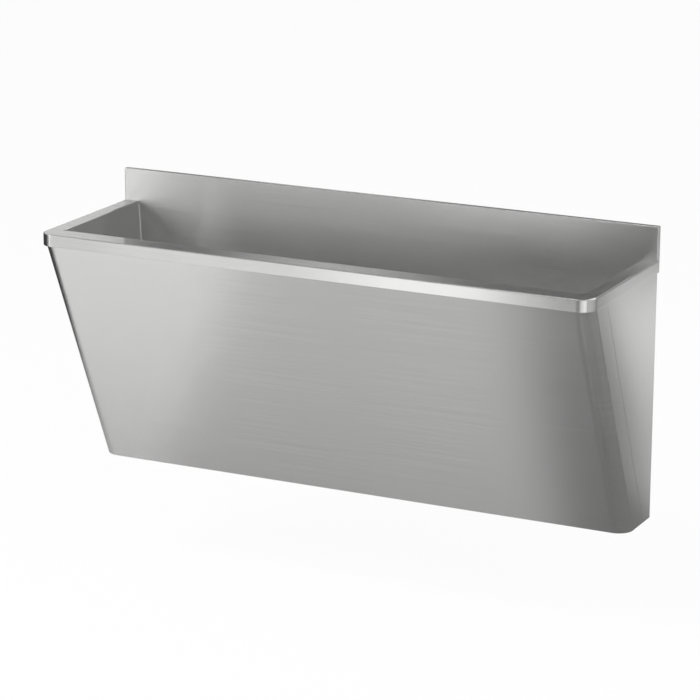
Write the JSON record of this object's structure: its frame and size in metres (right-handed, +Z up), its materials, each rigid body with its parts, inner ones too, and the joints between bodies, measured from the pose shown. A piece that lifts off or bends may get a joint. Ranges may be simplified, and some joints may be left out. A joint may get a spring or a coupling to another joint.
{
  "type": "surgical scrub sink",
  "caption": "Wall-hung stainless scrub trough: level ledge and band, low upstand, sloping skirt over the waste trap, lift-out strainer, removable apron.",
  "frame": {"origin": "on the wall face, in the middle of the row of wall bolts, 100 mm below the ledge", "axes": "+Z up, +Y into the wall, +X to the right of a person standing at the sink"},
  "size_m": [1.4, 0.42, 0.7025],
  "materials": {
    "brushed_stainless": "satin brushed along the length",
    "mill_stainless": "plain mill finish, hidden sheet",
    "polished_stainless": "polished",
    "zinc_plated_steel": "bright zinc plating",
    "brass": "machined",
    "bitumen_pad": "dull black damping sheet",
    "black_rubber": "moulded rubber",
    "white_polypropylene": "moulded, slightly satin"
  },
  "bodies": {
    "sink": {"upstand": "brushed_stainless", "rim": "brushed_stainless", "bowl": "brushed_stainless", "bowl_end_left": "brushed_stainless", "bowl_end_right": "brushed_stainless", "side_panel_left": "brushed_stainless", "side_panel_right": "brushed_stainless", "front_channel": "mill_stainless", "ledge_angle_left": "mill_stainless", "ledge_angle_right": "mill_stainless", "apron_bracket_left": "mill_stainless", "apron_bracket_right": "mill_stainless", "support_rib_left": "mill_stainless", "support_rib_right": "mill_stainless", "hanging_cleat": "mill_stainless", "wall_rail": "zinc_plated_steel", "sound_pad_left": "bitumen_pad", "sound_pad_right": "bitumen_pad", "apron_nuts": "zinc_plated_steel", "earth_stud": "polished_stainless", "earth_washer": "zinc_plated_steel", "earth_nut": "brass", "waste_flange": "polished_stainless", "waste_gasket": "black_rubber", "underside_gasket": "black_rubber", "waste_backnut": "white_polypropylene", "inlet_washer": "black_rubber", "inlet_nut": "white_polypropylene", "dip_tube": "white_polypropylene", "trap_body": "white_polypropylene", "outlet_washer": "black_rubber", "outlet_nut": "white_polypropylene", "outlet_pipe": "white_polypropylene", "wall_rosette": "polished_stainless"},
    "apron": {"apron": "brushed_stainless", "apron_screws": "polished_stainless"},
    "strainer": {"strainer": "polished_stainless"},
    "trap_cup": {"trap_cup": "white_polypropylene", "cup_seal": "black_rubber"}
  },
  "joints": [
    {"name": "apron_drop", "type": "slide", "parent": "sink", "child": "apron", "axis": [0, 0, -1], "range_m": [0, 0.06]},
    {"name": "strainer_lift", "type": "slide", "parent": "sink", "child": "strainer", "axis": [0, 0, 1], "range_m": [0, 0.04]},
    {"name": "cup_drop", "type": "slide", "parent": "sink", "child": "trap_cup", "axis": [0, 0, -1], "range_m": [0, 0.08]}
  ]
}
